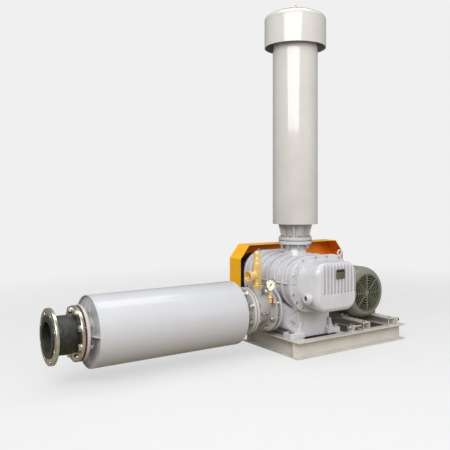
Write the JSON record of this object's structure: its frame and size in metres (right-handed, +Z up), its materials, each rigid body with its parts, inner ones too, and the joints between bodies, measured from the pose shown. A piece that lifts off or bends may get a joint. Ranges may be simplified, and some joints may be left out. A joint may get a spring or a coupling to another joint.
{
  "type": "rotary lobe air blower package",
  "caption": "Rotary lobe air blower package: ribbed casing with finned gear cover, tall intake silencer, belt-driven motor on slide rails and a discharge silencer line.",
  "frame": {"origin": "centre of the anchor hole pattern, on the floor under the base frame", "axes": "+X from the discharge silencer towards the motor; +Y from the gear cover towards the belt guard; +Z up"},
  "size_m": [2.28, 0.7705, 2.1662],
  "materials": {
    "paint": "gloss",
    "zinc": "satin",
    "iron": "rough",
    "steel": "machined",
    "black_plastic": "matte",
    "pulley_black": "satin",
    "belt_rubber": "matte",
    "joint_rubber": "matte",
    "guard_orange": "gloss",
    "filter_cloth": "pleated",
    "brass": "cast",
    "gasket": "matte",
    "amber": "clear amber",
    "red_plastic": "gloss",
    "gauge_black": "satin",
    "dial_white": "smooth",
    "glass": "clear",
    "motor_green": "satin",
    "plate": "etched"
  },
  "bodies": {
    "package": {"base_frame": "paint", "jack_brackets": "paint", "pedestal": "paint", "pedestal_bolts": "zinc", "casing": "paint", "front_side_plate": "paint", "rear_side_plate": "paint", "gear_cover": "paint", "blower_screws": "zinc", "sight_glass": "amber", "drain_plug": "zinc", "breather_plug": "zinc", "lifting_eyes": "paint", "rotor_bearings": "steel", "shaft_seal": "black_plastic", "v_belts": "belt_rubber", "belt_guard": "guard_orange", "intake_silencer": "paint", "filter_element": "filter_cloth", "intake_cap": "paint", "cap_eye_nut": "brass", "cap_tie_rod": "zinc", "intake_gasket": "gasket", "intake_bolts": "zinc", "tee_pipe": "paint", "check_valve_body": "iron", "relief_body": "brass", "relief_bonnet": "brass", "relief_spring": "steel", "siphon_tube": "zinc", "cock_body": "brass", "gauge_case": "gauge_black", "gauge_dial": "dial_white", "gauge_glass": "glass", "discharge_silencer": "paint", "flange_gaskets": "gasket", "discharge_bolts": "zinc", "rubber_joint": "joint_rubber", "joint_flanges": "zinc", "nameplate": "plate"},
    "drive_shaft_line": {"drive_rotor": "iron", "drive_gear": "steel", "blower_pulley": "pulley_black"},
    "driven_shaft_line": {"driven_rotor": "iron", "driven_gear": "steel"},
    "motor_carriage": {"motor_rails": "paint", "clamp_bolts": "zinc", "motor_foot_bolts": "zinc", "jack_bolts": "zinc", "motor_frame": "motor_green", "motor_end_shields": "motor_green", "motor_cowl": "motor_green", "terminal_box": "motor_green"},
    "motor_armature": {"motor_shaft": "steel", "motor_fan": "black_plastic", "motor_pulley": "pulley_black"},
    "check_flap": {"check_valve_flap": "steel"},
    "relief_lid": {"relief_disc": "brass"},
    "needle": {"gauge_needle": "black_plastic"},
    "cock_handle": {"cock_lever": "red_plastic"}
  },
  "joints": [
    {"name": "drive_rotor_spin", "type": "hinge", "parent": "package", "child": "drive_shaft_line", "pos_m": [-0.326, 0, 0.427], "axis": [0, 1, 0], "continuous": true},
    {"name": "driven_rotor_spin", "type": "hinge", "parent": "package", "child": "driven_shaft_line", "pos_m": [-0.174, 0, 0.427], "axis": [0, 1, 0], "continuous": true},
    {"name": "carriage_slide", "type": "slide", "parent": "package", "child": "motor_carriage", "axis": [1, 0, 0], "range_m": [-0.015, 0.015], "deforming": ["v_belts"]},
    {"name": "motor_spin", "type": "hinge", "parent": "motor_carriage", "child": "motor_armature", "pos_m": [0.233, 0, 0.3103], "axis": [0, 1, 0], "continuous": true},
    {"name": "check_flap_swing", "type": "hinge", "parent": "package", "child": "check_flap", "pos_m": [-0.484, 0, 0.331], "axis": [0, 1, 0], "range_deg": [0, 60]},
    {"name": "relief_lift", "type": "slide", "parent": "package", "child": "relief_lid", "axis": [0, 0, 1], "range_m": [0, 0.008], "stiffness_N_per_m": 3000, "springref_m": -0.01, "deforming": ["relief_spring"]},
    {"name": "gauge_needle_sweep", "type": "hinge", "parent": "package", "child": "needle", "pos_m": [-0.574, -0.1595, 0.4315], "axis": [0, 1, 0], "range_deg": [0, 270]},
    {"name": "cock_lever_turn", "type": "hinge", "parent": "package", "child": "cock_handle", "pos_m": [-0.574, -0.1625, 0.357], "axis": [-1, 0, 0], "range_deg": [0, 90]}
  ],
  "couplings": [
    {"joint": "driven_rotor_spin", "follows": "drive_rotor_spin", "ratio": -1},
    {"joint": "motor_spin", "follows": "drive_rotor_spin", "ratio": 1.4}
  ]
}
